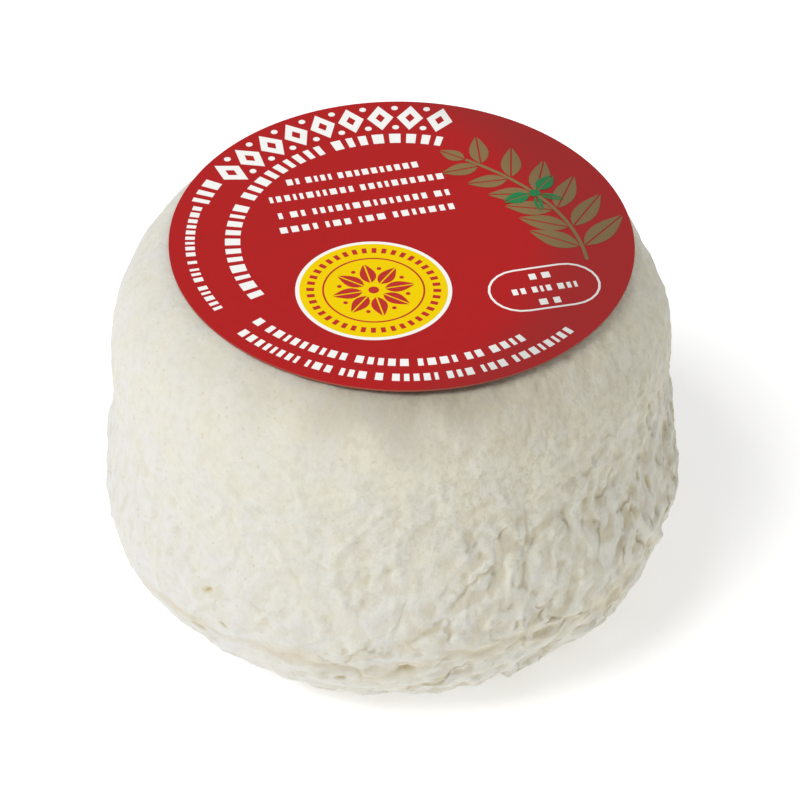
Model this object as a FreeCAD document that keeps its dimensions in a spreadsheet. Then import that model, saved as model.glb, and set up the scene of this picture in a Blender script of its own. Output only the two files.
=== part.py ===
# A small round of ripened curd, uneven as it drained, with a round paper label on its flat top.
#
# Millimetres, +Z up.  The origin lies on the resting face, at the middle of the plan.
# Angles run anticlockwise from +X as seen from above.
#
# The curd is one cubic B-spline skin between two flat faces.  A meridian runs through the named
# radii and heights: rolled foot, crease, belly, waist, shoulder and top.  Its poles are carried
# round the axis as rings, and each ring is made uneven: oval, slid sideways with height, rippled
# at the foot, and pushed in or out at named places.
import FreeCAD
import Part
import Sketcher
import math
import os

# Alias, value and meaning of each driving size, in millimetres or degrees.
SIZES = [
    ("cheese_height", 32.3, "resting face to flat top, on the axis"),
    ("rest_radius", 16.5, "flat face that the cheese rests on"),
    ("foot_radius", 22.8, "rolled lower edge, where it is fullest"),
    ("foot_height", 3.3, "height of that fullest part of the foot"),
    ("crease_depth", 0.5, "crease over the foot, in from the belly"),
    ("crease_height", 8.0, "height of the crease"),
    ("belly_radius", 25.6, "widest ring, where the curd slumped"),
    ("belly_height", 9.8, "height of the belly"),
    ("waist_radius", 24.3, "middle of the side"),
    ("waist_height", 17.4, "height of the waist"),
    ("shoulder_radius", 23.4, "start of the rounded upper edge"),
    ("shoulder_drop", 4.7, "shoulder below the flat top"),
    ("top_radius", 17.9, "flat top, inside the rounded edge"),
    ("top_lean", 0.6, "tilt of the flat top, down towards +X"),
    ("oval_rise", 0.7, "how far the plan is stretched to an oval"),
    ("oval_angle", 58.0, "direction of the long axis"),
    ("corner_rise", 0.16, "how far the plan is drawn to three soft corners"),
    ("corner_angle", 70.0, "direction of one of those corners"),
    ("foot_shift_x", 0.7, "centre of the lowest ring"),
    ("foot_shift_y", -0.4, "centre of the lowest ring"),
    ("top_shift_x", -0.4, "centre of the highest ring"),
    ("top_shift_y", 1.4, "centre of the highest ring"),
    ("sag_rise", 1.4, "how much higher the side stands where it slumped least"),
    ("sag_angle", 315.0, "direction of that side"),
    ("lobe_rise", 0.22, "broad lobes of the foot"),
    ("lobe_count", 8, "broad lobes in one turn"),
    ("lobe_angle", 20.5, "direction of one lobe's crest"),
    ("pucker_rise", 0.1, "narrow puckers of the foot"),
    ("pucker_count", 18, "narrow puckers in one turn"),
    ("pucker_angle", 3.0, "direction of one pucker's crest"),
    ("ripple_reach", 3.0, "how far lobes and puckers fade above and below the foot"),
    ("push_width", 7.0, "angle over which a push fades"),
    ("push_reach", 3.5, "height over which a push fades"),
    ("label_radius", 19.7, "paper label"),
    ("label_thickness", 0.2, "paper label"),
    ("label_shift_x", 1.3, "centre of the label from the centre of the top"),
    ("label_shift_y", 0.5, "centre of the label from the centre of the top"),
]

# Places where the side is pushed out (+) or in (-): name, angle, height and rise.
PUSHES = [
    ("shoulder_hollow", 17, 27.0, -0.5),
    ("shoulder_bump", 4, 23.0, 0.5),
    ("side_hollow", 3, 11.0, -1.2),
    ("lip_lobe", 315, 6.0, 0.9),
    ("lip_notch", 303, 5.5, -0.4),
    ("lip_hollow", 239, 5.5, -1.0),
    ("lip_bump", 210, 7.5, 0.3),
    ("belly_hollow", 187, 9.0, -0.3),
    ("belly_bump", 165, 14.0, 1.0),
    ("back_lip_notch", 128, 5.5, -0.6),
    ("back_hollow", 97, 13.0, -0.5),
    ("back_bump", 62, 19.0, 0.4),
]

RING_POLES = 48
ROW_SPACING = 2.2
# A closed cubic runs inside its ring of poles, so the poles stand out by this factor.
POLE_GAIN = 3 / (2 + math.cos(2 * math.pi / RING_POLES))
# How the slide from the foot's centre to the top's centre gathers with height, and how the lean does.
SLIDE_POWER = 1.5
LEAN_POWER = 2
JOIN_TOLERANCE = 1e-6


def write_sheet(doc):
    """Put every driving size in the spreadsheet under its alias."""
    sheet = doc.addObject("Spreadsheet::Sheet", "Sizes")
    rows = list(SIZES)
    for name, angle, height, rise in PUSHES:
        rows.append((name + "_angle", angle, "direction of the push"))
        rows.append((name + "_height", height, "height of the push"))
        rows.append((name + "_rise", rise, "outward rise of the push"))
    for number, (alias, value, meaning) in enumerate(rows, start=1):
        sheet.set(f"A{number}", alias)
        sheet.set(f"B{number}", str(value))
        sheet.set(f"C{number}", meaning)
        sheet.setAlias(f"B{number}", alias)
    doc.recompute()
    return sheet


def meridian_curve(sheet):
    """The mean side profile in the XZ plane, from the resting face up to the flat top."""
    top = sheet.cheese_height
    stations = [
        (sheet.rest_radius, 0),
        (sheet.foot_radius, sheet.foot_height),
        (sheet.belly_radius - sheet.crease_depth, sheet.crease_height),
        (sheet.belly_radius, sheet.belly_height),
        (sheet.waist_radius, sheet.waist_height),
        (sheet.shoulder_radius, top - sheet.shoulder_drop),
        (sheet.top_radius, top),
    ]
    curve = Part.BSplineCurve()
    curve.interpolate(
        Points=[FreeCAD.Vector(radius, 0, height) for radius, height in stations],
        InitialTangent=FreeCAD.Vector(1, 0, 0),
        FinalTangent=FreeCAD.Vector(-1, 0, 0),
        Scale=False,
    )
    return curve


def refine(curve, spacing):
    """Insert knots, which keeps the curve and gives it rows of poles close enough to shape."""
    knots = curve.getKnots()
    for low, high in zip(knots, knots[1:]):
        length = curve.length(low, high)
        parts = math.ceil(length / spacing)
        for part in range(1, parts):
            curve.insertKnot(low + (high - low) * part / parts, 1)


def fade(distance, reach):
    """A soft bell, 1 at no distance."""
    return math.exp(-0.5 * (distance / reach) ** 2)


def turn_between(angle, other):
    """The signed turn from one direction to another, in degrees, from -180 to 180."""
    return (angle - other + 180) % 360 - 180


def outward_rise(sheet, angle, height):
    """How far the side stands out from the mean profile at one angle and height."""
    rise = sheet.oval_rise * math.cos(math.radians(2 * (angle - sheet.oval_angle)))
    rise += sheet.corner_rise * math.cos(math.radians(3 * (angle - sheet.corner_angle)))
    ripple = sheet.lobe_rise * math.cos(math.radians(sheet.lobe_count * (angle - sheet.lobe_angle)))
    ripple += sheet.pucker_rise * math.cos(math.radians(sheet.pucker_count * (angle - sheet.pucker_angle)))
    rise += ripple * fade(height - sheet.foot_height, sheet.ripple_reach)
    for name, *_ in PUSHES:
        turn = turn_between(angle, sheet.get(name + "_angle"))
        climb = height - sheet.get(name + "_height")
        rise += sheet.get(name + "_rise") * fade(turn, sheet.push_width) * fade(climb, sheet.push_reach)
    return rise


def ring_pole(sheet, angle, radius, height):
    """One pole of the skin: the mean profile's pole, pushed, slid, sagged and leant."""
    share = height / sheet.cheese_height
    reach = radius * POLE_GAIN + outward_rise(sheet, angle, height)
    slide = share ** SLIDE_POWER
    x = reach * math.cos(math.radians(angle)) + sheet.foot_shift_x
    y = reach * math.sin(math.radians(angle)) + sheet.foot_shift_y
    x += slide * (sheet.top_shift_x - sheet.foot_shift_x)
    y += slide * (sheet.top_shift_y - sheet.foot_shift_y)
    middle = 4 * share * (1 - share)
    sag = sheet.sag_rise * middle * math.cos(math.radians(angle - sheet.sag_angle))
    lean = math.tan(math.radians(sheet.top_lean)) * x * share ** LEAN_POWER
    return FreeCAD.Vector(x, y, height + sag - lean)


def cheese_solid(sheet):
    """The skin closed by the flat resting face and the flat top."""
    meridian = meridian_curve(sheet)
    refine(meridian, ROW_SPACING)
    rows = meridian.getPoles()
    poles = []
    for index in range(RING_POLES):
        angle = 360 * index / RING_POLES
        poles.append([ring_pole(sheet, angle, row.x, row.z) for row in rows])
    skin = Part.BSplineSurface()
    skin.buildFromPolesMultsKnots(
        poles,
        [1] * (RING_POLES + 1),
        meridian.getMultiplicities(),
        [float(index) for index in range(RING_POLES + 1)],
        meridian.getKnots(),
        True,
        False,
        meridian.Degree,
        meridian.Degree,
    )
    side = skin.toShape()
    rims = [edge for edge in side.Edges if edge.isClosed() and not edge.isSeam(side)]
    caps = [Part.Face(Part.Wire([edge])) for edge in rims]
    solid = Part.Solid(Part.Shell([side] + caps))
    # Turns every face outwards.
    solid.fix(JOIN_TOLERANCE, JOIN_TOLERANCE, JOIN_TOLERANCE)
    return solid


def make_cheese(doc, sheet):
    """The curd, one solid."""
    cheese = doc.addObject("Part::Feature", "Cheese")
    cheese.Label = "cheese"
    cheese.Shape = cheese_solid(sheet)
    cheese.Placement = FreeCAD.Placement()
    return cheese


def origin_plane(body, role):
    """One of a body's own origin planes."""
    for feature in body.Origin.OriginFeatures:
        if feature.Role == role:
            return feature
    raise ValueError(role)


def make_label(doc):
    """The paper label: a padded circle laid on the leaning flat top."""
    body = doc.addObject("PartDesign::Body", "Label")
    body.Label = "label"
    sketch = body.newObject("Sketcher::SketchObject", "LabelOutline")
    sketch.AttachmentSupport = [(origin_plane(body, "XY_Plane"), "")]
    sketch.MapMode = "FlatFace"
    centre = FreeCAD.Vector(0, 0, 0)
    sketch.addGeometry(Part.Circle(centre, FreeCAD.Vector(0, 0, 1), 1), False)
    sketch.addConstraint(Sketcher.Constraint("Coincident", 0, 3, -1, 1))
    sketch.addConstraint(Sketcher.Constraint("Radius", 0, 1))
    sketch.renameConstraint(1, "radius")
    sketch.setExpression("Constraints.radius", "Sizes.label_radius")
    pad = body.newObject("PartDesign::Pad", "LabelPaper")
    pad.Profile = sketch
    pad.setExpression("Length", "Sizes.label_thickness")
    body.Placement = FreeCAD.Placement(centre, FreeCAD.Rotation(FreeCAD.Vector(0, 1, 0), 1))
    across = "(Sizes.top_shift_x + Sizes.label_shift_x)"
    body.setExpression("Placement.Base.x", across)
    body.setExpression("Placement.Base.y", "Sizes.top_shift_y + Sizes.label_shift_y")
    body.setExpression("Placement.Base.z", f"Sizes.cheese_height - {across} * tan(Sizes.top_lean * 1 deg)")
    body.setExpression("Placement.Rotation.Angle", "Sizes.top_lean * 1 deg")
    return body


def check(doc, parts):
    """Stop if any object failed, or any part has no sound shape."""
    for item in doc.Objects:
        if "Invalid" in item.State or "Error" in item.State:
            raise RuntimeError(item.Name + " failed: " + str(item.State))
    for item in parts:
        if item.Shape.isNull() or not item.Shape.isValid() or item.Shape.Volume <= 0:
            raise RuntimeError(item.Label + " has no sound shape")


def main():
    doc = FreeCAD.newDocument("RoundCheese")
    sheet = write_sheet(doc)
    parts = [make_cheese(doc, sheet), make_label(doc)]
    doc.recompute()
    check(doc, parts)
    os.makedirs("parts", exist_ok=True)
    for item in parts:
        item.Shape.exportStep(f"parts/{item.Label}.step")


main()
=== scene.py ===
"""A small ripened goat cheese with a round paper label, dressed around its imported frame.

Lengths are in metres, in the frame's own axes: +Z is up, the cheese stands on z = 0 and its near side
faces -Y. Angles round the cheese are in degrees and run anticlockwise from +X as seen from above, so 270
is the near side. The label's print is laid out in millimetres, in the label's own axes from its middle:
x to the right and y away from the viewer.
"""

import math
from typing import NamedTuple

import bmesh
import bpy
import numpy as np
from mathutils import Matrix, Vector
from mathutils.bvhtree import BVHTree

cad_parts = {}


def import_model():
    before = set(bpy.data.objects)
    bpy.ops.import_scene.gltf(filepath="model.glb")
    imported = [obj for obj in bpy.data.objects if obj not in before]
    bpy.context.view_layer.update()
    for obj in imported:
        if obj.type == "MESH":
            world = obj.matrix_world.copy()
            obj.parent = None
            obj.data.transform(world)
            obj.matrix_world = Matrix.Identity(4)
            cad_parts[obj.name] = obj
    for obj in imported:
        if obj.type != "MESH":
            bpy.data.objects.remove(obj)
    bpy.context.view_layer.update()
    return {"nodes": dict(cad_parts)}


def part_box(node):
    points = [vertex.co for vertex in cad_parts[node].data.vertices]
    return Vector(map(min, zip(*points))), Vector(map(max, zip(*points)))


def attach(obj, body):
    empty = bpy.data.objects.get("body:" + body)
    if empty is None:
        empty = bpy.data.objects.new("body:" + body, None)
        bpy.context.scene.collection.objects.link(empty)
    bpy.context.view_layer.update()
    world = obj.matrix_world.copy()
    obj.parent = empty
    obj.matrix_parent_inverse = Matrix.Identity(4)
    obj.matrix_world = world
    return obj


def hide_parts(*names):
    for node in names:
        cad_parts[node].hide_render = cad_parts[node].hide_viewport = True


MM = 0.001
TURN = 2 * math.pi


class Zone(NamedTuple):
    """A stretch round the cheese: its middle and its reach, both in degrees, and its strength."""

    angle: float
    reach: float
    strength: float = 1.0


class Dent(NamedTuple):
    """A small slit: its angle round the cheese, height and length in millimetres, and lean from level."""

    angle: float
    height: float
    length: float
    lean: float


class Strokes(NamedTuple):
    """How a field's strokes lie: their lean from level, how much that scatters, and how long some are."""

    lean: float = 0.0
    scatter: float = 180.0
    stretch: float = 1.0


class Field(NamedTuple):
    """A random field: its seed, the mean distance between its strokes, its height, and its strokes."""

    seed: int
    period: float
    height: float = 1.0
    strokes: Strokes = Strokes()


class ArcRow(NamedTuple):
    """A row of blocks along an arc about the label's middle, one block for each letter of its words."""

    radius: float
    height: float
    start: float
    end: float
    words: tuple


class LineRow(NamedTuple):
    """A straight row of blocks from its lower left corner, one block for each letter of its words."""

    left: float
    baseline: float
    length: float
    words: tuple


# The rind's grid: columns round the cheese, crowded towards the angle with the finest wrinkles, and rows up
# its side and across each of its two flat faces.
COLUMNS = 600
CROWDED_ANGLE = 305
CROWDING = 0.25
SIDE_ROWS = 150
FACE_ROWS = 5
SMOOTHING_PASSES = 3

# The trial rows from which the grid's rows are spaced, and what counts as the side: it is steep or far out.
TRIAL_ROWS = 900
TRIAL_COLUMNS = 24
TRIAL_LIMIT = 89.5
SIDE_SLOPE = 0.08
FACE_RADIUS = 18.5 * MM

# How a random field is made: its number of waves, how their pitch varies, and how many are stretched.
WAVES_PER_FIELD = 90
PITCH_SPREAD = (0.8, 1.3)
STRETCHED_SHARE = 0.3

# Each field's seed is fixed, so that every run gives the same cheese. A field that is mixed from steep,
# level and scattered strokes also uses the two seeds after its own.
STEEP_STROKES = Strokes(lean=62, scatter=36, stretch=2.0)
LEVEL_STROKES = Strokes(lean=20, scatter=28, stretch=2.0)
LEVEL_SHARE = 0.8
MIXED_PERIOD = 1.1
MIXED_WEIGHT = 0.8

# How rugged the rind is: a little everywhere, more in some zones, and less up by the label's rim.
BASE_STRENGTH = 0.21
RUGGED_ZONES = (Zone(323, 52, 0.85), Zone(60, 60, 0.65), Zone(160, 50, 0.25))
LOW_FRONT = Zone(268, 34, 0.13)
RIM_STRENGTH = 0.3
PATCHES = Field(31, 9 * MM, 0.22)
PATCH_STEEPNESS = 1.5

# The rind's relief: gentle waves, soft creases where it is smooth, and, where it is rugged, flat-topped
# swells, ridges, worm-like strokes, thin wandering cracks, pits and grain.
WAVES = Field(41, 4.5 * MM, 0.10 * MM)
SMOOTH_WAVES = 0.45
CREASES = Field(131, 6.0 * MM, 0.19 * MM, Strokes(lean=50, scatter=45))
CREASE_WIDTH = 0.36
SWELLS = Field(81, 2.7 * MM, 0.11 * MM)
SWELL_STEEPNESS = 2.2
RIDGES = Field(61, 5.4 * MM, 0.22 * MM)
RIDGE_WIDTH = 0.28
WORMS = Field(111, 2.15 * MM, 0.09 * MM)
WORM_STEEPNESS = 1.6
CRACKS = Field(94, 4.4 * MM, 0.16 * MM)
CRACK_RIPPLE = Field(97, 1.3 * MM, 0.2)
CRACK_BREAKS = Field(91, 3.4 * MM)
CRACK_BREAK_LEVELS = (-0.1, 0.8)
CRACK_WIDTH = 0.32
CRACK_ON_RIDGE = 0.3
PITS = Field(11, 1.9 * MM, 0.16 * MM)
PIT_LEVELS = (1.5, 2.0)
GRAIN = Field(71, 1.1 * MM, 0.03 * MM)
SMOOTH_GRAIN = 0.15
SETTLE = 0.20 * MM

# The fold where the body slumps over its foot: a groove in a wider tan band, both broken here and there.
FOLD_HEIGHT = 8.0 * MM
FOLD_RISE = 1.4 * MM
FOLD_RISE_ZONE = Zone(315, 45)
FOLD_WANDER = Field(21, 14 * MM, 0.5 * MM)
FOLD_RIPPLE = Field(22, 4 * MM, 0.25 * MM)
FOLD_BREAKS = Field(23, 8 * MM)
FOLD_BREAK_LEVELS = (-1.0, 0.8)
FOLD_DEPTH = 0.12 * MM
FOLD_WIDTH = 0.35 * MM
BAND_WIDTH = 0.85 * MM
BROKEN_BAND = 0.35

# To the right of the near side the fold is a wider neck.
NECK_ZONE = Zone(343, 13)
NECK_DEPTH = 0.5 * MM
NECK_WIDTH = 1.5 * MM

# Lumps round the foot.
LUMPS = Field(121, 4.6 * MM, 0.22 * MM)

# Slits in the fold, and dents on the side.
DENTS = (
    Dent(273, 7.9, 1.4, 5),
    Dent(228, 6.6, 1.3, -15),
    Dent(294, 8.8, 1.3, 20),
    Dent(233, 12.8, 0.9, 30),
    Dent(236, 9.2, 0.8, -20),
    Dent(260, 6.2, 1.0, 0),
    Dent(339, 21.9, 1.8, 62),
    Dent(334, 16.4, 1.2, 80),
    Dent(331, 17.9, 0.9, 80),
    Dent(352, 24.5, 1.6, 75),
)
DENT_DEPTH = 0.30 * MM
DENT_WIDTH = 0.22 * MM

# Round the label the rind rises to meet the paper, but on the near side it sinks away from it.
RIM_GAP = 0.22 * MM
RIM_GAP_ZONE = Zone(285, 42)
MOST_RISE = 0.6 * MM
RIM_CONTACT = 0.85
NEAR_CONTACT = 0.2
TOUCHING_REACH = 2.2 * MM
GAP_START = -4.5 * MM
GAP_FULL = -0.5 * MM
GAP_END = 7.0 * MM

# The label's painted shadow on the shoulder beside it, widest on the near side.
SHADOW_BAND_WIDTH = 5.5 * MM
SHADOW_BAND_ZONE = Zone(280, 38, 0.88)
SHADOW_BAND_ELSEWHERE = 0.12
SHADOW_BAND_WANDER = Field(57, 7 * MM, 0.5 * MM)
SHADOW_BAND_OVERLAP = 0.5 * MM
FUZZY_ZONE = Zone(308, 46)

# The bloom is creamier towards one angle and towards the top, with soft patches.
CREAM_ANGLE = 150
CREAM_ROUND = 0.55
CREAM_UPWARDS = 0.55
CREAM_LESS = 0.15
CREAM_PATCHES = Field(51, 6 * MM, 0.12)
CREAM_MOTTLE = Field(52, 2.4 * MM, 0.08)

# What the colours take from the relief: gain and power of the ruggedness and of the veins, and the share of
# each kind of wrinkle in the crests and crevices.
RUGGED_GAIN = (1.15, 1.4)
VEINED_GAIN = (1.2, 1.7)
RIDGE_CREST = 0.6
PLAIN_CREST = 0.3
SWELL_CREST = 0.3
CREASE_CREST = 0.6
CRACK_CREVICE = 0.5

# Pairs of heights: what they belong to is absent at the first and full at the second.
RUGGED_HEIGHTS = (29 * MM, 16 * MM)
LOW_FRONT_HEIGHTS = (20 * MM, 9 * MM)
LEVEL_STROKE_HEIGHTS = (13 * MM, 6 * MM)
CREASE_LOW_HEIGHTS = (3 * MM, 8 * MM)
CREASE_HIGH_HEIGHTS = (29 * MM, 24 * MM)
LUMP_HEIGHTS = (5 * MM, 2 * MM)
OFF_FLOOR_HEIGHTS = (0.05 * MM, 0.6 * MM)
RIM_HEIGHTS = (20 * MM, 26 * MM)
SHADOW_BAND_HEIGHTS = (18 * MM, 24 * MM)
FUZZY_HEIGHTS = (14 * MM, 25 * MM)

# The label's slight bend starts past a circle about a place left of its middle. Beyond it, its print gets a
# painted shade and a faint grey painted reflection.
INK_THICKNESS = 0.025 * MM
BEND_CENTRE = -10.6
BEND_RADIUS = 21.0
BEND_RATE = 0.0018
PAINTED_SHADE_SPAN = (-0.8, 4.8)

# The paper's mesh: sectors, and rings from a small middle patch, as a share of the radius, out to the edge.
LABEL_SECTORS = 180
LABEL_RINGS = 25
LABEL_PATCH = 0.04

# Printed shapes are cut into square cells of this size, this many either side of the middle.
INK_CELL = 1.5
CELLS_EACH_WAY = 13

# The rows of small blocks, and how their widths and the gaps between blocks and words compare.
PRINT_TURN = 14
BLOCK_WIDTHS = (0.35, 0.85)
BLOCK_GAP = 0.42
WORD_GAP = 0.9
ARC_ROWS = (
    ArcRow(14.3, 1.3, 213, 76, (11, 9, 8)),
    ArcRow(17.9, 0.8, 212, 166, (5, 3, 1, 9)),
    ArcRow(17.9, 1.5, 164, 154, (3,)),
    ArcRow(16.2, 0.9, 222, 308, (1, 9, 5, 4, 2, 4)),
    ArcRow(18.1, 0.9, 223, 320, (8, 3, 3, 1, 5, 3, 3, 8)),
)
ARC_SEED = 1
LINE_ROWS = (
    LineRow(-9.8, 7.4, 11.6, (2, 4, 10)),
    LineRow(-11.2, 4.9, 15.3, (11, 10)),
    LineRow(-10.4, 2.7, 15.0, (1, 2, 14, 2)),
    LineRow(-10.2, 0.7, 15.2, (4, 3, 3, 7)),
)
LINE_SEED = 10
LINE_BLOCK = 0.8

# The heading's lace of open lozenges, with dots between them on both sides.
LACE_COUNT = 9
LACE_START = 148
LACE_END = 79
LACE_RADIUS = 17.3
LOZENGE = (1.15, 1.75)
LOZENGE_HOLE = (0.42, 0.64)
DOT_RADII = (15.9, 18.7)
DOT_SIZE = 0.3

# The plaque: a stadium's half length, its outer and inner radius, and its short rows.
PLAQUE_CENTRE = (11.9, -6.2)
PLAQUE_HALF = 2.0
PLAQUE_RADIUS = 2.8
PLAQUE_INNER = 2.6
PLAQUE_ROWS = ((1.8, (2,)), (5.6, (2, 3, 3)), (1.8, (2,)))
PLAQUE_SEED = 20
PLAQUE_BLOCK = 0.75
PLAQUE_FIRST_ROW = 1.2
PLAQUE_ROW_STEP = 1.7

# The sprig: its stem's curve, and its pairs of leaves, whose size shrinks along it. Each leaf starts clear of
# the stem, and those on the outer side are longer.
SPRIG_CURVE = ((15.6, -2.4), (14.4, 6.2), (5.5, 11.3))
STEM_HALF_WIDTH = 0.16
STEM_STEPS = 12
LEAF_PAIRS = 6
FIRST_PAIR = 0.10
PAIRS_SPAN = 0.82
LEAF_SIDES = ((-1, 1.04), (1, 0.88))
LEAF_SPREAD = 51
LEAF_SIZE = (5.4, 2.0)
LEAF_SHRINK = (1.9, 0.5)
LEAF_CLEAR = 0.34
TIP_LEAF = (2.4, 1.3, 0.12)
LEAF_STEPS = 8
LEAF_FULLNESS = 0.8
MIDRIB_HALF = 0.07

# The bow on the sprig: where it is tied, and the spread and size of its loops and of its loose ends.
BOW_SHARE = 0.60
LOOP_SPREAD = 74
LOOP_LEAF = (2.4, 1.3, 0.56)
END_SPREAD = 150
END_LEAF = (2.0, 0.6, 0.56)
KNOT_SIZE = 0.5

# The medallion: the radii of its rim, field, ring of dashes and thin line, and its flower.
MEDALLION_CENTRE = (-2.35, -6.8)
RIM_RADIUS = 6.55
FIELD_RADIUS = 6.2
DASH_COUNT = 40
DASH_RADIUS = 5.3
DASH_HALF = (0.2, 0.32)
LINE_RADII = (4.3, 4.15)
PETALS = 8
PETAL = (2.5, 1.22, 0.98)
SEED_RADIUS = 2.9
SEED_SIZE = 0.2
HEART_SIZE = 0.45

# The studio.
SURROUND_STRENGTH = 0.49
KEY_PLACE = (-1.05, -0.64, 1.81)
KEY_SIZE = 1.1
KEY_POWER = 29.0
FLOOR_HALF = 6.0
CAMERA_ELEVATION = 40.215
CAMERA_TARGET = (0.748 * MM, 0, 16.35 * MM)
CAMERA_DISTANCE = 390.56 * MM
CAMERA_LENS = 203.15


def srgb(red, green, blue):
    """Linear colour, with alpha, of an sRGB colour given in 0 to 255."""
    channels = []
    for value in (red, green, blue):
        value = value / 255
        channels.append(value / 12.92 if value <= 0.04045 else ((value + 0.055) / 1.055) ** 2.4)
    return (*channels, 1.0)


def smoothstep(low, high, value):
    """0 at low, 1 at high and beyond them, with a smooth rise between. Low may be above high."""
    share = np.clip((value - low) / (high - low), 0, 1)
    return share * share * (3 - 2 * share)


def bell(value, width):
    """1 where value is 0, falling to 0 on both sides of it."""
    return np.exp(-((value / width) ** 2))


def angle_from(angle, centre):
    """How far an angle lies past another, between -180 and 180 degrees."""
    return (angle - centre + 180) % 360 - 180


# ---------------------------------------------------------------- the rind's grid


def cast_rows(cad_node, azimuths, elevations):
    """Points of the node's surface seen from its middle, one row for each elevation."""
    low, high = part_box(cad_node.name)
    middle = Vector([(a + b) / 2 for a, b in zip(low, high)])
    vertices = [vertex.co.copy() for vertex in cad_node.data.vertices]
    faces = [tuple(face.vertices) for face in cad_node.data.polygons]
    tree = BVHTree.FromPolygons(vertices, faces)
    points = np.empty((len(elevations), len(azimuths), 3))
    for row, elevation in enumerate(elevations):
        for column, azimuth in enumerate(azimuths):
            ray = Vector((
                math.cos(elevation) * math.cos(azimuth),
                math.cos(elevation) * math.sin(azimuth),
                math.sin(elevation),
            ))
            points[row, column] = tree.ray_cast(middle, ray)[0]
    return points


def even_elevations(cad_node):
    """Elevations that cut the mean outline into even steps, finer on the side than on the two faces."""
    trial = np.radians(np.linspace(-TRIAL_LIMIT, TRIAL_LIMIT, TRIAL_ROWS))
    azimuths = np.linspace(0, TURN, TRIAL_COLUMNS, endpoint=False)
    points = cast_rows(cad_node, azimuths, trial)
    radius = np.hypot(points[:, :, 0], points[:, :, 1]).mean(axis=1)
    height = points[:, :, 2].mean(axis=1)
    steps = np.hypot(np.diff(radius), np.diff(height))
    slope = np.abs(np.diff(height)) / steps
    on_side = (slope > SIDE_SLOPE) | (radius[1:] > FACE_RADIUS)
    side_length = steps[on_side].sum()
    face_length = steps[~on_side].sum()
    density = np.where(on_side, SIDE_ROWS / side_length, 2 * FACE_ROWS / face_length)
    count = np.concatenate([[0], np.cumsum(steps * density)])
    return np.interp(np.linspace(0, count[-1], SIDE_ROWS + 2 * FACE_ROWS), count, trial)


def crowded_azimuths():
    """The columns' directions from the middle, closer together about the crowded angle."""
    even = np.linspace(0, TURN, COLUMNS, endpoint=False)
    return even - CROWDING * np.sin(even - math.radians(CROWDED_ANGLE))


def smooth_rows(points, passes):
    """The grid with the frame's facets averaged out."""
    for _ in range(passes):
        points = (np.roll(points, 1, axis=1) + 2 * points + np.roll(points, -1, axis=1)) / 4
        inner = (points[:-2] + 2 * points[1:-1] + points[2:]) / 4
        points = np.concatenate([points[:1], inner, points[-1:]])
    return points


def grid_normals(points):
    """Outward unit normals of the grid."""
    along = np.roll(points, -1, axis=1) - np.roll(points, 1, axis=1)
    up = np.gradient(points, axis=0)
    normals = np.cross(along, up)
    return normals / np.linalg.norm(normals, axis=2, keepdims=True)


class Rind:
    """The grid's places, with the masks and random fields that its relief and colours share."""

    def __init__(self, points):
        self.points = points
        self.height = points[:, :, 2]
        self.radius = np.hypot(points[:, :, 0], points[:, :, 1])
        self.azimuth = np.arctan2(points[:, :, 1], points[:, :, 0])
        self.angle = np.degrees(self.azimuth) % 360
        steps = np.linalg.norm(np.diff(points, axis=0), axis=2).mean(axis=1)
        self.climb = np.concatenate([[0], np.cumsum(steps)])[:, None] + np.zeros_like(self.height)
        self.girth = TURN * self.radius.max()

    def near(self, zone):
        """The zone's strength at its angle, falling off like a bell over its reach."""
        return zone.strength * bell(angle_from(self.angle, zone.angle), zone.reach)

    def between(self, heights):
        """0 at the first height and 1 at the second, with a smooth change between them."""
        return smoothstep(*heights, self.height)

    def reach(self, seat):
        """How far each place lies from the middle of the label, seen from above."""
        return np.hypot(self.points[:, :, 0] - seat.middle[0], self.points[:, :, 1] - seat.middle[1])

    def waves(self, seed, period, strokes):
        """A field of unit size made of many plane waves that close up round the cheese."""
        rng = np.random.default_rng(seed)
        field = np.zeros_like(self.azimuth)
        for _ in range(WAVES_PER_FIELD):
            across = math.radians(strokes.lean + 90 + rng.normal(0, strokes.scatter))
            pitch = period * rng.uniform(*PITCH_SPREAD)
            if rng.random() < STRETCHED_SHARE:
                pitch *= strokes.stretch
            turns = round(math.cos(across) * self.girth / pitch)
            climb_rate = TURN * math.sin(across) / pitch
            field += np.cos(turns * self.azimuth + climb_rate * self.climb + rng.uniform(0, TURN))
        return field * math.sqrt(2 / WAVES_PER_FIELD)

    def field(self, field):
        """A random field over this rind, of unit size."""
        return self.waves(field.seed, field.period, field.strokes)

    def stroke_field(self, field):
        """The same, but its strokes stand steep on the side and lie nearly level low down."""
        steep = self.waves(field.seed, field.period, STEEP_STROKES)
        level = self.waves(field.seed + 1, field.period, LEVEL_STROKES)
        mixed = self.waves(field.seed + 2, field.period * MIXED_PERIOD, Strokes())
        low = self.between(LEVEL_STROKE_HEIGHTS)
        weights = (1 - LEVEL_SHARE * low, 1 - LEVEL_SHARE * (1 - low), MIXED_WEIGHT + 0 * low)
        total = sum(weight * strokes for weight, strokes in zip(weights, (steep, level, mixed)))
        return total / np.sqrt(sum(weight * weight for weight in weights))


# ---------------------------------------------------------------- the rind's relief


def relief_strength(rind):
    """From 0 to 1, how rugged the rind is: most low on the right, least on the left and by the label."""
    zones = sum(rind.near(zone) for zone in RUGGED_ZONES)
    low_front = rind.near(LOW_FRONT) * rind.between(LOW_FRONT_HEIGHTS)
    strength = np.clip(BASE_STRENGTH + zones + low_front, 0, 1)
    below_rim = RIM_STRENGTH + (1 - RIM_STRENGTH) * rind.between(RUGGED_HEIGHTS)
    patches = 1 - PATCHES.height * (1 - np.tanh(PATCH_STEEPNESS * rind.field(PATCHES)))
    return strength * below_rim * patches


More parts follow.
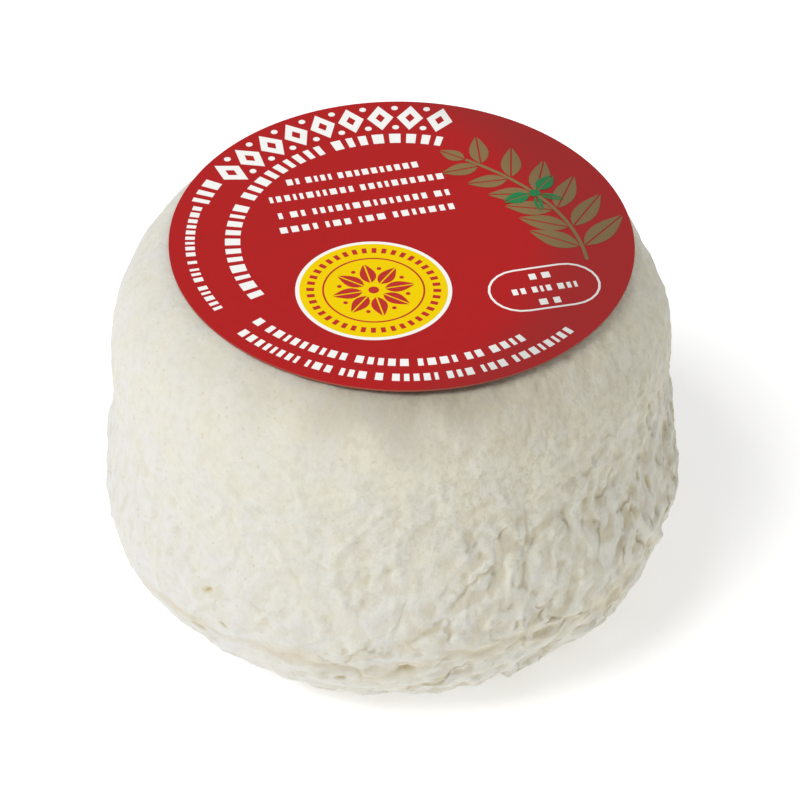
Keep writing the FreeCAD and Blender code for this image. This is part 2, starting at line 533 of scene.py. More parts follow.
def fold_marks(rind):
    """The groove of the fold over the foot and the wider tan band along it, both from 0 to 1."""
    wander = FOLD_WANDER.height * rind.field(FOLD_WANDER) + FOLD_RIPPLE.height * rind.field(FOLD_RIPPLE)
    gap = rind.height - (FOLD_HEIGHT + FOLD_RISE * rind.near(FOLD_RISE_ZONE) + wander)
    broken = smoothstep(*FOLD_BREAK_LEVELS, rind.field(FOLD_BREAKS))
    groove = bell(gap, FOLD_WIDTH) * broken
    band = bell(gap, BAND_WIDTH) * (BROKEN_BAND + (1 - BROKEN_BAND) * broken)
    return groove, band


def neck_mark(rind):
    """1 in the wide neck that the fold becomes on the right, falling to 0 round it."""
    return bell(rind.height - FOLD_HEIGHT, NECK_WIDTH) * rind.near(NECK_ZONE)


def dent_marks(rind):
    """1 in the bottom of each slit and dent, falling to 0 at its edge."""
    mark = np.zeros_like(rind.height)
    for dent in DENTS:
        across = np.radians(angle_from(rind.angle, dent.angle)) * rind.radius
        up = rind.height - dent.height * MM
        cosine, sine = math.cos(math.radians(dent.lean)), math.sin(math.radians(dent.lean))
        along = (across * cosine + up * sine) / (dent.length * MM / 2)
        beside = (up * cosine - across * sine) / DENT_WIDTH
        mark = np.maximum(mark, np.exp(-(along ** 4) - beside ** 2))
    return mark


class Wrinkles:
    """Where each kind of wrinkle is, and how rugged the rind is there."""

    def __init__(self, rind):
        self.strength = relief_strength(rind)
        gain, power = RUGGED_GAIN
        self.rugged = np.clip(gain * self.strength ** power, 0, 1)
        self.ridges = bell(rind.stroke_field(RIDGES), RIDGE_WIDTH)
        self.swells = np.tanh(SWELL_STEEPNESS * rind.stroke_field(SWELLS))
        self.worms = rind.stroke_field(WORMS)
        self.veins = rind.stroke_field(CRACKS) + CRACK_RIPPLE.height * rind.field(CRACK_RIPPLE)
        self.broken = smoothstep(*CRACK_BREAK_LEVELS, rind.field(CRACK_BREAKS))
        beside_ridges = 1 - (1 - CRACK_ON_RIDGE) * self.ridges
        self.cracks = bell(self.veins, CRACK_WIDTH) * self.broken * beside_ridges
        self.pits = smoothstep(*PIT_LEVELS, rind.stroke_field(PITS)) * (1 - self.ridges)
        on_side = rind.between(CREASE_LOW_HEIGHTS) * rind.between(CREASE_HIGH_HEIGHTS)
        self.creases = bell(rind.field(CREASES), CREASE_WIDTH) * (1 - self.strength) * on_side
        self.groove, self.band = fold_marks(rind)
        self.dents = dent_marks(rind)

    def rise(self, rind):
        """How far each place of the rind stands out from the frame's smooth form."""
        smooth = 1 - self.strength
        rise = WAVES.height * np.tanh(rind.field(WAVES)) * (1 - (1 - SMOOTH_WAVES) * smooth)
        rise += GRAIN.height * np.tanh(rind.field(GRAIN)) * (1 - (1 - SMOOTH_GRAIN) * smooth)
        rise += CREASES.height * self.creases
        rise += self.strength * (SWELLS.height * self.swells + RIDGES.height * self.ridges)
        rise += self.rugged * WORMS.height * np.tanh(WORM_STEEPNESS * self.worms)
        rise -= self.strength * (CRACKS.height * self.cracks + PITS.height * self.pits)
        rise += LUMPS.height * np.tanh(rind.field(LUMPS)) * rind.between(LUMP_HEIGHTS)
        rise -= FOLD_DEPTH * self.groove + NECK_DEPTH * neck_mark(rind) + DENT_DEPTH * self.dents + SETTLE
        return rise * rind.between(OFF_FLOOR_HEIGHTS)


def rim_fit(rind, seat):
    """How far each place rises to meet the paper, or on the near side sinks away from it."""
    reach = rind.reach(seat)
    below_paper = -(rind.points - seat.middle) @ seat.up - seat.thickness / 2
    gap = np.clip(below_paper + SETTLE, 0, MOST_RISE)
    near = rind.near(RIM_GAP_ZONE)
    touching = smoothstep(seat.radius + TOUCHING_REACH, seat.radius, reach)
    touching *= 1 - (1 - NEAR_CONTACT) * near
    under = smoothstep(seat.radius + GAP_START, seat.radius + GAP_FULL, reach)
    beyond = smoothstep(seat.radius + GAP_END, seat.radius, reach)
    return rind.between(RIM_HEIGHTS) * (RIM_CONTACT * gap * touching - RIM_GAP * under * beyond * near)


# ---------------------------------------------------------------- the rind's mesh


def painted_shadow_band(rind, seat):
    """From 0 to 1, how much painted shadow the shoulder gets beside the label, below its rim."""
    edge = seat.radius + SHADOW_BAND_WIDTH + SHADOW_BAND_WANDER.height * rind.field(SHADOW_BAND_WANDER)
    beside = smoothstep(edge, seat.radius - SHADOW_BAND_OVERLAP, rind.reach(seat))
    return beside * (SHADOW_BAND_ELSEWHERE + rind.near(SHADOW_BAND_ZONE)) * rind.between(SHADOW_BAND_HEIGHTS)


def cream_share(rind):
    """From 0 to 1, how creamy the bloom is."""
    round_cheese = 0.5 - 0.5 * np.cos(rind.azimuth - math.radians(CREAM_ANGLE))
    cream = CREAM_ROUND * round_cheese + CREAM_UPWARDS * rind.height / rind.height.max() - CREAM_LESS
    for field in (CREAM_PATCHES, CREAM_MOTTLE):
        cream += field.height * np.tanh(rind.field(field))
    return np.clip(cream, 0, 1)


def rind_facts(rind, wrinkles, seat):
    """What the rind's material needs to know of each place, by the name of its attribute."""
    strength = wrinkles.strength
    crevices = strength * np.clip(CRACK_CREVICE * wrinkles.cracks + wrinkles.pits, 0, 1)
    crests = strength * (RIDGE_CREST * wrinkles.ridges + PLAIN_CREST + SWELL_CREST * wrinkles.swells)
    gain, power = VEINED_GAIN
    # The painted shadow beside the label's rim.
    painted_shadow = painted_shadow_band(rind, seat)
    return {
        "crevice": np.clip(crevices, 0, 1),
        "slit": wrinkles.dents,
        "vein": wrinkles.veins,
        "veined": np.clip(gain * strength ** power * wrinkles.broken, 0, 1),
        "worm": wrinkles.worms,
        "rugged": wrinkles.rugged,
        "fuzzy": np.maximum(rind.near(FUZZY_ZONE) * rind.between(FUZZY_HEIGHTS), painted_shadow),
        "ridge": np.clip(crests + CREASE_CREST * wrinkles.creases, 0, 1),
        "fold": wrinkles.band,
        "cream": cream_share(rind),
        "painted_shadow": painted_shadow,
    }


def build_rind(cad_node, seat):
    """The rind's mesh: the frame's smooth form with its wrinkles, kept inside the frame's box."""
    elevations = even_elevations(cad_node)
    points = smooth_rows(cast_rows(cad_node, crowded_azimuths(), elevations), SMOOTHING_PASSES)
    rind = Rind(points)
    wrinkles = Wrinkles(rind)
    moved = points + grid_normals(points) * wrinkles.rise(rind)[:, :, None]
    moved[:, :, 2] += rim_fit(rind, seat)
    low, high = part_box(cad_node.name)
    moved = np.clip(moved, low, high)
    return closed_grid("cheese_rind", moved, rind_facts(rind, wrinkles, seat))


def closed_grid(name, points, attributes):
    """A mesh of the grid's points, closed at both ends by a fan to the middle of the end row."""
    rows, columns, _ = points.shape
    ends = np.array([points[0].mean(axis=0), points[-1].mean(axis=0)])
    vertices = np.concatenate([points.reshape(-1, 3), ends])
    index = np.arange(rows * columns).reshape(rows, columns)
    after = np.roll(index, -1, axis=1)
    quads = np.stack([index[:-1], after[:-1], after[1:], index[1:]], axis=-1).reshape(-1, 4)
    bottom, top = rows * columns, rows * columns + 1
    fans = [(int(b), int(a), bottom) for a, b in zip(index[0], after[0])]
    fans += [(int(a), int(b), top) for a, b in zip(index[-1], after[-1])]
    mesh = bpy.data.meshes.new(name)
    mesh.from_pydata(vertices.tolist(), [], quads.tolist() + fans)
    for label, values in attributes.items():
        layer = mesh.attributes.new(label, "FLOAT", "POINT")
        flat_values = np.concatenate([values.reshape(-1), [values[0].mean(), values[-1].mean()]])
        layer.data.foreach_set("value", flat_values.astype(np.float32))
    mesh.shade_smooth()
    return add_object(name, mesh)


def add_object(name, mesh):
    """The mesh as a named object in the scene."""
    piece = bpy.data.objects.new(name, mesh)
    bpy.context.scene.collection.objects.link(piece)
    return piece


# ---------------------------------------------------------------- the label's paper


class Seat:
    """The label's own axes, middle, radius and thickness, read from the frame's label."""

    def __init__(self, cad_node):
        points = np.array([vertex.co for vertex in cad_node.data.vertices])
        self.middle = (points.min(axis=0) + points.max(axis=0)) / 2
        offsets = points - self.middle
        self.up = np.linalg.svd(offsets, full_matrices=False)[2][2]
        self.up *= math.copysign(1, self.up[2])
        self.right = np.cross((0, 1, 0), self.up)
        self.right /= np.linalg.norm(self.right)
        self.back = np.cross(self.up, self.right)
        rise = offsets @ self.up
        self.thickness = rise.max() - rise.min()
        self.radius = np.linalg.norm(offsets - np.outer(rise, self.up), axis=1).max()
        self.paper_top = self.thickness - 2 * INK_THICKNESS

    def beyond(self, x, y):
        """How far past the start of the label's bend a place x, y lies, in millimetres."""
        return math.hypot(x - BEND_CENTRE, y) - BEND_RADIUS

    def painted_shade_at(self, x, y):
        """From 0 to 1, how much painted shade and painted reflection the print gets at a place x, y."""
        return float(smoothstep(*PAINTED_SHADE_SPAN, self.beyond(x, y)))

    def place(self, x, y, z):
        """The frame's coordinates of a place x, y on the label, at height z in the paper, in metres."""
        beyond = max(0.0, self.beyond(x, y))
        z = z - self.thickness / 2 - BEND_RATE * beyond * beyond * MM
        return self.middle + x * MM * self.right + y * MM * self.back + z * self.up


def build_label(seat, paper, red):
    """The label's paper: a thin disc, red above and plain paper at its edge and below."""
    radius = seat.radius / MM
    reaches = [radius * share for share in np.linspace(LABEL_PATCH, 1.0, LABEL_RINGS)]
    rings = [(reach, 0.0) for reach in reaches] + [(reach, seat.paper_top) for reach in reversed(reaches)]
    vertices = []
    painted_shade = []
    for reach, z in rings:
        for i in range(LABEL_SECTORS):
            angle = TURN * i / LABEL_SECTORS
            x, y = reach * math.cos(angle), reach * math.sin(angle)
            vertices.append(tuple(seat.place(x, y, z)))
            painted_shade.append(seat.painted_shade_at(x, y))
    faces = []
    for ring in range(len(rings) - 1):
        for i in range(LABEL_SECTORS):
            j = (i + 1) % LABEL_SECTORS
            a, b = ring * LABEL_SECTORS, (ring + 1) * LABEL_SECTORS
            faces.append([a + i, a + j, b + j, b + i])
    last = (len(rings) - 1) * LABEL_SECTORS
    faces.append(list(reversed(range(LABEL_SECTORS))))
    faces.append([last + i for i in range(LABEL_SECTORS)])
    mesh = bpy.data.meshes.new("label_paper")
    mesh.from_pydata(vertices, [], faces)
    # The paper's painted shade and painted reflection, growing past the start of its bend.
    mesh.attributes.new("painted_shade", "FLOAT", "POINT").data.foreach_set("value", painted_shade)
    mesh.materials.append(paper)
    mesh.materials.append(red)
    for polygon in mesh.polygons:
        polygon.material_index = int(min(polygon.vertices) >= LABEL_RINGS * LABEL_SECTORS)
    return add_object("label_paper", mesh)


# ---------------------------------------------------------------- the label's print


def arc_points(radius, start, end, steps, centre=(0, 0)):
    """Points along an arc, angles in degrees."""
    angles = np.radians(np.linspace(start, end, steps))
    return [(centre[0] + radius * math.cos(a), centre[1] + radius * math.sin(a)) for a in angles]


def arc_place(radius, angle, centre=(0, 0)):
    """The place at one angle of a circle."""
    return arc_points(radius, angle, angle, 1, centre)[0]


def circle(radius, sides, centre=(0, 0)):
    """The outline of a round dot or disc."""
    return arc_points(radius, 0, 360 - 360 / sides, sides, centre)


def turned(points, degrees, shift=(0, 0)):
    """Flat points turned about the origin, then shifted."""
    c, s = math.cos(math.radians(degrees)), math.sin(math.radians(degrees))
    return [(x * c - y * s + shift[0], x * s + y * c + shift[1]) for x, y in points]


class Ink:
    """Flat printed shapes of one colour, kept as thin closed plates on the label."""

    def __init__(self, seat, low, high):
        self.seat = seat
        self.low = low
        self.high = high
        self.vertices = []
        self.faces = []

    def plate(self, outline):
        """One shape inside an anticlockwise outline."""
        first = len(self.vertices)
        count = len(outline)
        for z in (self.low, self.high):
            self.vertices += [(x, y, z) for x, y in outline]
        self.faces.append([first + count + i for i in range(count)])
        self.faces.append([first + i for i in reversed(range(count))])
        for i in range(count):
            j = (i + 1) % count
            self.faces.append([first + i, first + j, first + count + j, first + count + i])

    def ring(self, outer, inner):
        """One closed band between two outlines of as many points."""
        first = len(self.vertices)
        count = len(outer)
        for outline, z in ((outer, self.low), (outer, self.high), (inner, self.high), (inner, self.low)):
            self.vertices += [(x, y, z) for x, y in outline]
        for i in range(count):
            j = (i + 1) % count
            for band in range(4):
                a, b = first + band * count, first + (band + 1) % 4 * count
                self.faces.append([a + i, a + j, b + j, b + i])

    def build(self, name, material):
        """The printed piece, cut into small cells so that it bends with the paper."""
        mesh = bpy.data.meshes.new(name)
        mesh.from_pydata(self.vertices, [], self.faces)
        cells = bmesh.new()
        cells.from_mesh(mesh)
        for axis in ((1, 0, 0), (0, 1, 0)):
            for step in range(-CELLS_EACH_WAY, CELLS_EACH_WAY + 1):
                place = [INK_CELL * step * component for component in axis]
                everything = cells.verts[:] + cells.edges[:] + cells.faces[:]
                bmesh.ops.bisect_plane(cells, geom=everything, plane_co=place, plane_no=axis)
        # Each corner of the print carries its painted shade and painted reflection.
        painted_shade = cells.verts.layers.float.new("painted_shade")
        for vertex in cells.verts:
            vertex[painted_shade] = self.seat.painted_shade_at(vertex.co.x, vertex.co.y)
            vertex.co = Vector(self.seat.place(*vertex.co))
        cells.to_mesh(mesh)
        cells.free()
        mesh.materials.append(material)
        return add_object(name, mesh)


def block_spans(words, length, seed):
    """Where each block of a row starts and ends along its length, for words of these lengths."""
    rng = np.random.default_rng(seed)
    widths = [[rng.uniform(*BLOCK_WIDTHS) for _ in range(count)] for count in words]
    gaps = BLOCK_GAP * (sum(words) - len(words)) + WORD_GAP * (len(words) - 1)
    scale = length / (sum(sum(word) for word in widths) + gaps)
    spans = []
    place = 0.0
    for word in widths:
        for width in word:
            spans.append((place, place + width * scale))
            place += (width + BLOCK_GAP) * scale
        place += (WORD_GAP - BLOCK_GAP) * scale
    return spans


def print_arc_row(ink, row, seed):
    """One row of blocks bent along an arc, either way round."""
    for span in block_spans(row.words, row.end - row.start, seed):
        low, high = sorted(row.start + share for share in span)
        outer = arc_points(row.radius + row.height / 2, low, high, 3)
        inner = arc_points(row.radius - row.height / 2, high, low, 3)
        ink.plate(outer + inner)


def print_line_row(ink, row, height, seed):
    """One straight row of blocks, turned with the rest of the print."""
    for low, high in block_spans(row.words, row.length, seed):
        block = [(low, 0), (high, 0), (high, height), (low, height)]
        ink.plate(turned(block, PRINT_TURN, (row.left, row.baseline)))


def print_rows(ink):
    """The rows of small blocks where a label's small print goes."""
    for i, row in enumerate(ARC_ROWS):
        print_arc_row(ink, row, ARC_SEED + i)
    for i, row in enumerate(LINE_ROWS):
        print_line_row(ink, row, LINE_BLOCK, LINE_SEED + i)


def lozenge(half_width, half_height):
    """An upright lozenge about the origin."""
    return [(half_width, 0), (0, half_height), (-half_width, 0), (0, -half_height)]


def print_heading(ink):
    """A lace of open lozenges with dots between them, round the far left of the label."""
    step = (LACE_START - LACE_END) / (LACE_COUNT - 1)
    for i in range(LACE_COUNT):
        angle = LACE_START - i * step
        place = arc_place(LACE_RADIUS, angle)
        outer = turned(lozenge(*LOZENGE), angle - 90, place)
        ink.ring(outer, turned(lozenge(*LOZENGE_HOLE), angle - 90, place))
        if i < LACE_COUNT - 1:
            for radius in DOT_RADII:
                ink.plate(circle(DOT_SIZE, 12, arc_place(radius, angle - step / 2)))


def stadium(half, radius):
    """The outline of a level bar with round ends about the origin."""
    return arc_points(radius, -90, 90, 12, (half, 0)) + arc_points(radius, 90, 270, 12, (-half, 0))


def print_plaque(ink):
    """An outlined plaque with three short rows, on the near right."""
    outer = turned(stadium(PLAQUE_HALF, PLAQUE_RADIUS), PRINT_TURN, PLAQUE_CENTRE)
    ink.ring(outer, turned(stadium(PLAQUE_HALF, PLAQUE_INNER), PRINT_TURN, PLAQUE_CENTRE))
    for i, (length, words) in enumerate(PLAQUE_ROWS):
        corner = (-length / 2, PLAQUE_FIRST_ROW - PLAQUE_ROW_STEP * i)
        left, baseline = turned([corner], PRINT_TURN, PLAQUE_CENTRE)[0]
        print_line_row(ink, LineRow(left, baseline, length, words), PLAQUE_BLOCK, PLAQUE_SEED + i)


def half_leaf(length, width, side):
    """One half of a pointed leaf along +x, on the side of +y or -y, clear of its midrib."""
    shares = [i / (LEAF_STEPS - 1) for i in range(LEAF_STEPS)]
    swell = [MIDRIB_HALF + width / 2 * math.sin(math.pi * share ** LEAF_FULLNESS) for share in shares]
    edge = [(length * share, y) for share, y in zip(shares, swell)]
    outline = [(0, MIDRIB_HALF), (length, MIDRIB_HALF)] + edge[-2:0:-1]
    if side < 0:
        outline = [(x, -y) for x, y in reversed(outline)]
    return outline


def print_leaf(ink, origin, direction, length, width, clear):
    """A printed leaf with an open midrib, which starts clear of its origin."""
    place = turned([(clear, 0)], direction, origin)[0]
    for side in (1, -1):
        ink.plate(turned(half_leaf(length, width, side), direction, place))


def bezier(start, control, end, share):
    """A place along a curve with one control point, and the curve's direction there in degrees."""
    a, b, c = (1 - share) ** 2, 2 * share * (1 - share), share ** 2
    place = tuple(a * p + b * q + c * r for p, q, r in zip(start, control, end))
    heading = [(1 - share) * (q - p) + share * (r - q) for p, q, r in zip(start, control, end)]
    return place, math.degrees(math.atan2(heading[1], heading[0]))


def print_sprig(brown):
    """A full leafy sprig on the far right: pairs of leaves, a leaf at its tip, and its stem."""
    for i in range(LEAF_PAIRS):
        share = FIRST_PAIR + PAIRS_SPAN * i / (LEAF_PAIRS - 1)
        place, heading = bezier(*SPRIG_CURVE, share)
        length, width = (size - shrink * share for size, shrink in zip(LEAF_SIZE, LEAF_SHRINK))
        for side, longer in LEAF_SIDES:
            print_leaf(brown, place, heading + side * LEAF_SPREAD, length * longer, width, LEAF_CLEAR)
    tip, heading = bezier(*SPRIG_CURVE, 1.0)
    print_leaf(brown, tip, heading, *TIP_LEAF)
    line = [bezier(*SPRIG_CURVE, i / STEM_STEPS) for i in range(STEM_STEPS + 1)]
    left = [turned([(0, STEM_HALF_WIDTH)], heading, place)[0] for place, heading in line]
    right = [turned([(0, -STEM_HALF_WIDTH)], heading, place)[0] for place, heading in line]
    brown.plate(right + left[::-1])


def print_bow(green):
    """A bow tied round the sprig's stem: two loops, two loose ends and a knot."""
    knot, heading = bezier(*SPRIG_CURVE, BOW_SHARE)
    for side in (-1, 1):
        print_leaf(green, knot, heading + side * LOOP_SPREAD, *LOOP_LEAF)
        print_leaf(green, knot, heading + side * END_SPREAD, *END_LEAF)
    green.plate(circle(KNOT_SIZE, 12, knot))


def print_medallion(white, yellow, red):
    """A yellow medallion in a white rim, with a ring of dashes and a flower, near the near edge."""
    white.plate(circle(RIM_RADIUS, 120, MEDALLION_CENTRE))
    yellow.plate(circle(FIELD_RADIUS, 120, MEDALLION_CENTRE))
    x, y = DASH_HALF
    dash = [(-x, -y), (x, -y), (x, y), (-x, y)]
    for i in range(DASH_COUNT):
        angle = i * 360 / DASH_COUNT
        red.plate(turned(dash, angle - 90, arc_place(DASH_RADIUS, angle, MEDALLION_CENTRE)))
    outer, inner = LINE_RADII
    red.ring(circle(outer, 90, MEDALLION_CENTRE), circle(inner, 90, MEDALLION_CENTRE))
    for i in range(PETALS):
        angle = PRINT_TURN + i * 360 / PETALS
        print_leaf(red, MEDALLION_CENTRE, angle, *PETAL)
        between = arc_place(SEED_RADIUS, angle + 180 / PETALS, MEDALLION_CENTRE)
        red.plate(circle(SEED_SIZE, 8, between))
    red.plate(circle(HEART_SIZE, 20, MEDALLION_CENTRE))


# ---------------------------------------------------------------- materials


# The bloom's two whites, under all the other tints.
COOL_BLOOM = srgb(215, 214, 213)
CREAM_BLOOM = srgb(219, 214, 193)

# Tints of the rind, one over another: the attribute that says where, the colour, and the most of it.
RIND_TINTS = (
    ("ridge", srgb(216, 218, 208), 0.5),
    ("crevice", srgb(190, 177, 143), 0.8),
    ("fold", srgb(196, 180, 138), 0.38),
    ("slit", srgb(184, 164, 100), 0.9),
    # A grey painted shadow on the shoulder below the label's rim.
    ("painted_shadow", srgb(150, 141, 124), 0.75),
)

# Finer tints, each a colour and the most of it, and the levels between which each sets in.
VEIN_TINT = (srgb(182, 168, 134), 0.6)
VALLEY_TINT = (srgb(190, 177, 144), 0.55)
PORE_TINT = (srgb(196, 182, 148), 0.5)
SPECK_TINT = (srgb(198, 194, 174), 0.33)
RUGGED_SPECK_TINT = (srgb(198, 194, 174), 0.4)
FUR_TINT = (srgb(186, 177, 152), 0.4)
VEIN_LEVELS = (0.45, 0.05)
VALLEY_LEVELS = (0.1, -1.1)
WORM_LEVELS = (-0.5, 0.5)
PORE_LEVELS = (0.26, 0.08)
SPECK_LEVELS = (0.46, 0.72)
FUR_LEVELS = (0.44, 0.66)

# The sizes of the finest textures, in features to the metre, and the heights of the rind's bumps.
PORE_SCALE = 1500.0
PORE_SHARE = 0.28
FUZZ_SCALE = 1300.0
GRAIN_SCALE = 2400.0
MOTTLE_SCALE = 900.0
GRAIN_BUMP = 0.12 * MM
WORM_BUMP = 0.06 * MM
VEIN_BUMP = 0.09 * MM

# The rind is matt, with a faint sheen, and lets a little light through.
RIND_SURFACE = {
    "Roughness": 0.85,
    "Specular IOR Level": 0.25,
    "Sheen Weight": 0.12,
    "Sheen Roughness": 0.5,
    "Subsurface Weight": 0.15,
    "Subsurface Radius": (1.0, 0.8, 0.55),
    "Subsurface Scale": 0.5 * MM,
}

# The floor is matt, and glows a little so that it stays pale.
FLOOR_SURFACE = {
    "Base Color": (0.93, 0.93, 0.93, 1.0),
    "Roughness": 0.9,
    "Emission Color": (1.0, 1.0, 1.0, 1.0),
    "Emission Strength": 0.35,
}

# How much light the print's mottling keeps, how much the painted shade on the bent part keeps, and the grey
# haze of painted reflection there.
MOTTLED = 0.94
PAINTED_SHADE_LEVEL = 0.70
PAINTED_REFLECTION_HAZE = 0.008


def new_material(name):
    """A new node material, its node tree and its shader."""
    material = bpy.data.materials.new(name)
    material.use_nodes = True
    tree = material.node_tree
    return material, tree, tree.nodes["Principled BSDF"]


def set_inputs(shader, values):
    """Sets a shader's inputs by name."""
    for name, value in values.items():
        shader.inputs[name].default_value = value


def add_node(tree, kind, **values):
    """A node of that kind with properties and input values set by name."""
    made = tree.nodes.new(kind)
    for name, value in values.items():
        if hasattr(made, name):
            setattr(made, name, value)
        else:
            made.inputs[name].default_value = value
    return made


def attribute(tree, name):
    """A mesh attribute's output."""
    return add_node(tree, "ShaderNodeAttribute", attribute_name=name).outputs["Fac"]


def maths(tree, operation, value, other=None):
    """The output of a sum on one output, with another output or a number where it takes two."""
    made = add_node(tree, "ShaderNodeMath", operation=operation)
    tree.links.new(value, made.inputs[0])
    if isinstance(other, float):
        made.inputs[1].default_value = other
    elif other is not None:
        tree.links.new(other, made.inputs[1])
    return made.outputs["Value"]


def ramp(tree, value, levels, kind="LINEAR"):
    """An output that goes from 0 where value is at the first level to 1 where it is at the second."""
    rise = add_node(tree, "ShaderNodeMapRange", interpolation_type=kind)
    tree.links.new(value, rise.inputs["Value"])
    rise.inputs["From Min"].default_value, rise.inputs["From Max"].default_value = levels
    return rise.outputs["Result"]


def masked(tree, value, levels, mask):
    """A smooth ramp of a value, times a mask."""
    return maths(tree, "MULTIPLY", ramp(tree, value, levels, "SMOOTHSTEP"), mask)


def tinted(tree, ground, factor, colour, strength=1.0):
    """The ground, an output or a colour, turned towards a colour by a factor's output times strength."""
    if strength != 1.0:
        factor = maths(tree, "MULTIPLY", factor, strength)
    mix = add_node(tree, "ShaderNodeMix", data_type="RGBA")
    if isinstance(ground, tuple):
        mix.inputs["A"].default_value = ground
    else:
        tree.links.new(ground, mix.inputs["A"])
    mix.inputs["B"].default_value = colour
    tree.links.new(factor, mix.inputs["Factor"])
    return mix.outputs["Result"]


def noise(tree, place, **values):
    """The output of a noise texture over a place."""
    texture = add_node(tree, "ShaderNodeTexNoise", **values)
    tree.links.new(place, texture.inputs["Vector"])
    return texture.outputs["Fac"]


def bumped(tree, height, distance, strength=1.0, below=None, sunk=False):
    """A normal bent by a height, on top of the normal below, or sunk where the height is 1."""
    bump = add_node(tree, "ShaderNodeBump", Strength=strength, Distance=distance)
    bump.invert = sunk
    tree.links.new(height, bump.inputs["Height"])
    if below is not None:
        tree.links.new(below, bump.inputs["Normal"])
    return bump.outputs["Normal"]


def pores(tree, place):
    """1 in the middle of each of a few scattered pores."""
    cells = add_node(tree, "ShaderNodeTexVoronoi", Scale=PORE_SCALE)
    tree.links.new(place, cells.inputs["Vector"])
    pore = ramp(tree, cells.outputs["Distance"], PORE_LEVELS)
    apart = add_node(tree, "ShaderNodeSeparateColor")
    tree.links.new(cells.outputs["Color"], apart.inputs["Color"])
    sparse = maths(tree, "GREATER_THAN", apart.outputs["Red"], 1 - PORE_SHARE)
    return maths(tree, "MULTIPLY", pore, sparse)


def rind_material():
    """Powdery white rind: cool on its ridges, cream between them, tan in its crevices, folds and pores."""
    material, tree, shader = new_material("rind")
    place = add_node(tree, "ShaderNodeTexCoord").outputs["Object"]
    rugged = attribute(tree, "rugged")
    worm = attribute(tree, "worm")
    vein_line = maths(tree, "ABSOLUTE", attribute(tree, "vein"))
    vein = masked(tree, vein_line, VEIN_LEVELS, attribute(tree, "veined"))
    fuzz = noise(tree, place, Scale=FUZZ_SCALE, Detail=4.0, Roughness=0.65)
    fur = masked(tree, fuzz, FUR_LEVELS, attribute(tree, "fuzzy"))

    colour = tinted(tree, COOL_BLOOM, attribute(tree, "cream"), CREAM_BLOOM)
    for name, tint, strength in RIND_TINTS:
        colour = tinted(tree, colour, attribute(tree, name), tint, strength)
    colour = tinted(tree, colour, vein, *VEIN_TINT)
    colour = tinted(tree, colour, masked(tree, worm, VALLEY_LEVELS, rugged), *VALLEY_TINT)
    colour = tinted(tree, colour, pores(tree, place), *PORE_TINT)
    colour = tinted(tree, colour, ramp(tree, fuzz, SPECK_LEVELS), *SPECK_TINT)
    colour = tinted(tree, colour, masked(tree, fuzz, SPECK_LEVELS, rugged), *RUGGED_SPECK_TINT)
    colour = tinted(tree, colour, fur, *FUR_TINT)
    tree.links.new(colour, shader.inputs["Base Color"])

    grain = noise(tree, place, Scale=GRAIN_SCALE, Detail=5.0)
    normal = bumped(tree, grain, GRAIN_BUMP, strength=0.7)
    normal = bumped(tree, masked(tree, worm, WORM_LEVELS, rugged), WORM_BUMP, below=normal)
    normal = bumped(tree, vein, VEIN_BUMP, below=normal, sunk=True)
    tree.links.new(normal, shader.inputs["Normal"])

    set_inputs(shader, RIND_SURFACE)
    return material


def shaded(colour, share, haze=0.0):
    """A share of a colour's light, with a little haze."""
    return tuple(share * channel + haze for channel in colour[:3]) + (1.0,)


def ink_material(name, colour, roughness, gloss=0.3):
    """Printed colour on coated paper, a little mottled, with a painted shade and a faint painted reflection
    where the label bends.
    """
    material, tree, shader = new_material(name)
    place = add_node(tree, "ShaderNodeTexCoord").outputs["Object"]
    mottle = noise(tree, place, Scale=MOTTLE_SCALE, Detail=3.0)
    mottled_print = tinted(tree, shaded(colour, MOTTLED), mottle, colour)
    # Where the label bends, the colour is darkened and greyed: painted shade and painted reflection.
    painted_shade = shaded(colour, PAINTED_SHADE_LEVEL, PAINTED_REFLECTION_HAZE)
    tree.links.new(tinted(tree, mottled_print, attribute(tree, "painted_shade"), painted_shade), shader.inputs["Base Color"])
    set_inputs(shader, {"Roughness": roughness, "Specular IOR Level": gloss})
    return material


# ---------------------------------------------------------------- studio


def add_floor():
    """A wide plain pale floor."""
    mesh = bpy.data.meshes.new("floor")
    corners = [(x * FLOOR_HALF, y * FLOOR_HALF, 0) for x, y in ((-1, -1), (1, -1), (1, 1), (-1, 1))]
    mesh.from_pydata(corners, [], [(0, 1, 2, 3)])
    material, _, shader = new_material("floor")
    set_inputs(shader, FLOOR_SURFACE)
    mesh.materials.append(material)
    floor = add_object("floor", mesh)


def add_light(name, position, size, power):
    """A square soft light that faces the cheese."""
    lamp = bpy.data.lights.new(name, "AREA")
    lamp.size = size
    lamp.energy = power
    holder = bpy.data.objects.new(name, lamp)
    holder.location = position
    holder.rotation_euler = (-Vector(position)).to_track_quat("-Z", "Y").to_euler()
    bpy.context.scene.collection.objects.link(holder)


def add_world(strength):
    """An even white surround."""
    world = bpy.data.worlds.new("surround")
    world.use_nodes = True
    background = world.node_tree.nodes["Background"]
    set_inputs(background, {"Color": (1.0, 1.0, 1.0, 1.0), "Strength": strength})
    bpy.context.scene.world = world


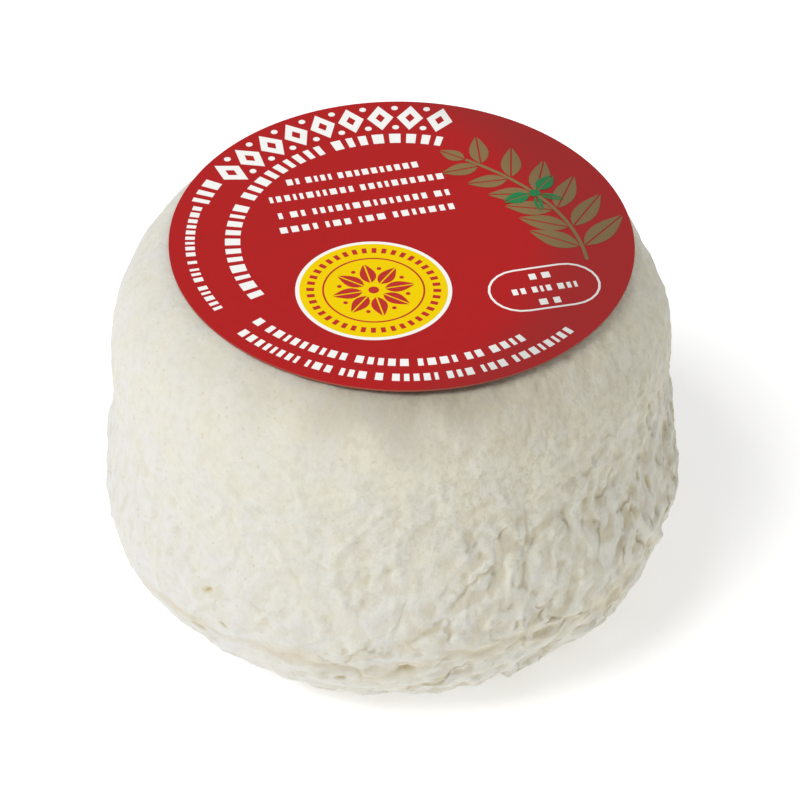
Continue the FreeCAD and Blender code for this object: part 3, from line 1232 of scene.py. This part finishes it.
def add_camera():
    """A long lens, looking down on the near side."""
    elevation = math.radians(CAMERA_ELEVATION)
    away = Vector((0, -math.cos(elevation), math.sin(elevation)))
    camera = bpy.data.cameras.new("camera")
    camera.lens = CAMERA_LENS
    camera.sensor_width = 36
    camera.clip_start = 0.01
    holder = bpy.data.objects.new("camera", camera)
    holder.location = Vector(CAMERA_TARGET) + away * CAMERA_DISTANCE
    holder.rotation_euler = (math.pi / 2 - elevation, 0, 0)
    bpy.context.scene.collection.objects.link(holder)
    bpy.context.scene.camera = holder


# ---------------------------------------------------------------- the whole


def add_cheese(cad_node, seat):
    """The rind, in place of the frame's cheese."""
    cheese = build_rind(cad_node, seat)
    cheese.data.materials.append(rind_material())
    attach(cheese, "root")
    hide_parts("cheese")


def add_label(seat):
    """The label's paper, in place of the frame's label."""
    paper = ink_material("paper", srgb(168, 84, 66), 0.7)
    red_paper = ink_material("red_print", srgb(182, 4, 6), 0.5)
    label = build_label(seat, paper, red_paper)
    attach(label, "root")
    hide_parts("label")


def add_print(seat):
    """The print: one piece for each ink, sunk halfway into the paper and standing a little above it."""
    base = 0.5 * seat.paper_top
    first, second = seat.paper_top + INK_THICKNESS, seat.paper_top + 2 * INK_THICKNESS
    white = Ink(seat, base, first)
    yellow = Ink(seat, base, first + 0.5 * INK_THICKNESS)
    red = Ink(seat, base, second)
    brown = Ink(seat, base, first)
    green = Ink(seat, base, second)
    print_heading(white)
    print_rows(white)
    print_plaque(white)
    print_medallion(white, yellow, red)
    print_sprig(brown)
    print_bow(green)
    inks = (
        white.build("print_white", ink_material("white_print", srgb(255, 255, 251), 0.45)),
        yellow.build("print_yellow", ink_material("yellow_print", srgb(250, 215, 0), 0.5, 0.05)),
        red.build("print_red", ink_material("medallion_red", srgb(196, 40, 30), 0.4)),
        brown.build("print_brown", ink_material("brown_print", srgb(140, 114, 70), 0.4)),
        green.build("print_green", ink_material("green_print", srgb(20, 130, 70), 0.4)),
    )
    for piece in inks:
        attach(piece, "root")


def main():
    """The dressed cheese on its floor, lit and in view."""
    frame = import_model()

    seat = Seat(frame["nodes"]["label"])
    add_cheese(frame["nodes"]["cheese"], seat)
    add_label(seat)
    add_print(seat)

    add_floor()
    add_world(SURROUND_STRENGTH)
    add_light("key", KEY_PLACE, KEY_SIZE, KEY_POWER)
    add_camera()
    bpy.context.scene.view_settings.view_transform = "Standard"


main()
